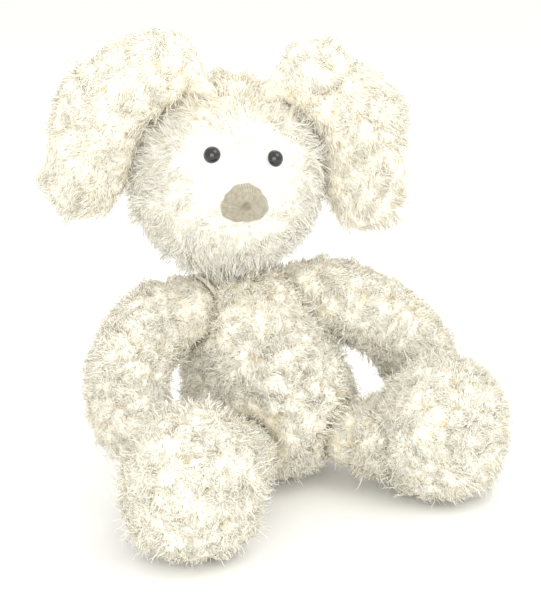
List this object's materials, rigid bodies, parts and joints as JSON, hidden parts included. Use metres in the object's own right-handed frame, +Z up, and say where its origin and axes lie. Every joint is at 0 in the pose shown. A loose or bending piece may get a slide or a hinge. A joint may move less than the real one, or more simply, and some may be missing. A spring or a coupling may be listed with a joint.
{
  "type": "plush dog",
  "caption": "Seated plush dog with long floppy ears, in curly cream pile, with a sewn head, body, arms, legs and tail that swivel at their seams.",
  "frame": {"origin": "centre of the flat underside of the seat, on the surface that the toy sits on", "axes": "+Z up; the dog faces -Y and its own left side is +X"},
  "size_m": [0.2493, 0.2017, 0.2731],
  "materials": {
    "body_pile": "matte",
    "face_pile": "matte",
    "ear_pile": "matte",
    "nose_fabric": "matte",
    "eye_plastic": "gloss",
    "washer_plastic": "satin",
    "seam_thread": "matte",
    "fibre_filling": "matte",
    "bag_cloth": "matte",
    "pellets": "satin"
  },
  "bodies": {
    "torso": {"body_front_panel": "body_pile", "body_back_left_panel": "body_pile", "body_back_right_panel": "body_pile", "body_base_panel": "body_pile", "body_filling": "fibre_filling", "seat_bean_bag": "bag_cloth", "seat_pellets": "pellets", "tail_seam": "seam_thread"},
    "neck": {"neck_seam": "seam_thread"},
    "head": {"head_left_panel": "face_pile", "head_right_panel": "face_pile", "head_gusset": "face_pile", "head_filling": "fibre_filling", "left_eye": "eye_plastic", "left_eye_washer": "washer_plastic", "right_eye": "eye_plastic", "right_eye_washer": "washer_plastic", "nose_pad": "nose_fabric", "left_ear_seam": "seam_thread", "right_ear_seam": "seam_thread"},
    "left_ear": {"left_ear_outer": "ear_pile", "left_ear_lining": "ear_pile"},
    "left_shoulder": {"left_arm_seam": "seam_thread"},
    "left_arm": {"left_arm_front_panel": "body_pile", "left_arm_back_panel": "body_pile", "left_arm_filling": "fibre_filling"},
    "left_hip": {"left_leg_seam": "seam_thread"},
    "left_leg": {"left_leg_upper_panel": "body_pile", "left_leg_under_panel": "body_pile", "left_sole_panel": "body_pile", "left_leg_filling": "fibre_filling", "left_foot_bean_bag": "bag_cloth", "left_foot_pellets": "pellets"},
    "right_ear": {"right_ear_outer": "ear_pile", "right_ear_lining": "ear_pile"},
    "right_shoulder": {"right_arm_seam": "seam_thread"},
    "right_arm": {"right_arm_front_panel": "body_pile", "right_arm_back_panel": "body_pile", "right_arm_filling": "fibre_filling"},
    "right_hip": {"right_leg_seam": "seam_thread"},
    "right_leg": {"right_leg_upper_panel": "body_pile", "right_leg_under_panel": "body_pile", "right_sole_panel": "body_pile", "right_leg_filling": "fibre_filling", "right_foot_bean_bag": "bag_cloth", "right_foot_pellets": "pellets"},
    "tail": {"tail_left_panel": "body_pile", "tail_right_panel": "body_pile", "tail_filling": "fibre_filling"}
  },
  "joints": [
    {"name": "neck_turn", "type": "hinge", "parent": "torso", "child": "neck", "pos_m": [-0.014, 0.014, 0.127], "axis": [0, 0, 1], "range_deg": [-30, 30]},
    {"name": "head_nod", "type": "hinge", "parent": "neck", "child": "head", "pos_m": [-0.014, 0.014, 0.127], "axis": [0.9563, -0.2924, 0], "range_deg": [-15, 15]},
    {"name": "left_ear_lift", "type": "hinge", "parent": "head", "child": "left_ear", "pos_m": [-0.00436, 0.00364, 0.23227], "axis": [-0.2924, -0.9563, 0], "range_deg": [0, 28]},
    {"name": "left_arm_swing", "type": "hinge", "parent": "torso", "child": "left_shoulder", "pos_m": [0.0276, 0.012, 0.106], "axis": [-1, 0, 0], "range_deg": [0, 50]},
    {"name": "left_arm_spread", "type": "hinge", "parent": "left_shoulder", "child": "left_arm", "pos_m": [0.0276, 0.012, 0.106], "axis": [0, -1, 0], "range_deg": [0, 25]},
    {"name": "left_leg_turn", "type": "hinge", "parent": "torso", "child": "left_hip", "pos_m": [0.03479, -0.03864, 0.03], "axis": [0, 0, -1], "range_deg": [0, 15]},
    {"name": "left_leg_lift", "type": "hinge", "parent": "left_hip", "child": "left_leg", "pos_m": [0.03479, -0.03864, 0.03], "axis": [-0.7431, -0.6691, 0], "range_deg": [0, 25]},
    {"name": "right_ear_lift", "type": "hinge", "parent": "head", "child": "right_ear", "pos_m": [-0.03292, 0.01237, 0.23514], "axis": [0.2924, 0.9563, 0], "range_deg": [0, 28]},
    {"name": "right_arm_swing", "type": "hinge", "parent": "torso", "child": "right_shoulder", "pos_m": [-0.0516, 0.012, 0.106], "axis": [-1, 0, 0], "range_deg": [-40, 50]},
    {"name": "right_arm_spread", "type": "hinge", "parent": "right_shoulder", "child": "right_arm", "pos_m": [-0.0516, 0.012, 0.106], "axis": [0, 1, 0], "range_deg": [0, 25]},
    {"name": "right_leg_turn", "type": "hinge", "parent": "torso", "child": "right_hip", "pos_m": [-0.03803, -0.03546, 0.03], "axis": [0, 0, 1], "range_deg": [0, 15]},
    {"name": "right_leg_lift", "type": "hinge", "parent": "right_hip", "child": "right_leg", "pos_m": [-0.03803, -0.03546, 0.03], "axis": [-0.682, 0.7314, 0], "range_deg": [0, 25]},
    {"name": "tail_wag", "type": "hinge", "parent": "torso", "child": "tail", "pos_m": [0, 0.04746, 0.027], "axis": [0, 0, 1], "range_deg": [-20, 20]}
  ]
}
